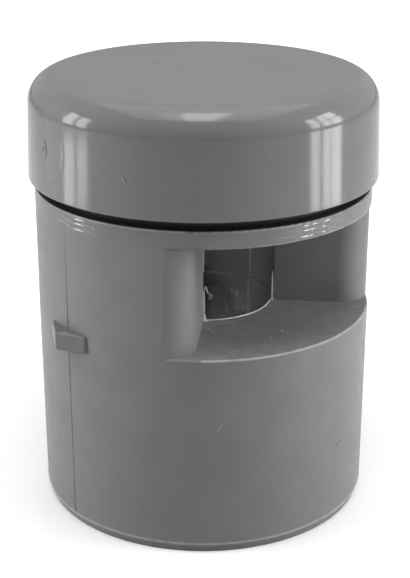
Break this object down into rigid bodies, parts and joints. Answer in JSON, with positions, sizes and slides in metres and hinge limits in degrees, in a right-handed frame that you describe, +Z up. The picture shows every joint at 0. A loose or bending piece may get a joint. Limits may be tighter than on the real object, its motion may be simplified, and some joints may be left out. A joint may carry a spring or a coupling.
{
  "type": "air admittance valve",
  "caption": "Grey plastic air admittance valve: a round housing with intake windows over a pipe spigot, a glued cap, and a gravity-closed membrane valve inside.",
  "frame": {"origin": "middle of the open lower end, in the plane of its rim", "axes": "+Z up along the pipe axis to the cap; the ribs lie on X and Y, with intake windows in the (+X, -Y) and (-X, +Y) quarters"},
  "size_m": [0.0514, 0.0514, 0.0652],
  "materials": {
    "housing_pvc": "moulded grey PVC, satin",
    "valve_plastic": "moulded natural plastic, satin",
    "membrane_rubber": "smooth moulded rubber"
  },
  "bodies": {
    "housing": {"body": "housing_pvc", "cap": "housing_pvc"},
    "valve": {"valve_plate": "valve_plastic", "membrane": "membrane_rubber", "retaining_ring": "valve_plastic"}
  },
  "joints": [
    {"name": "membrane_lift", "type": "slide", "parent": "housing", "child": "valve", "axis": [0, 0, 1], "range_m": [0, 0.004]}
  ]
}
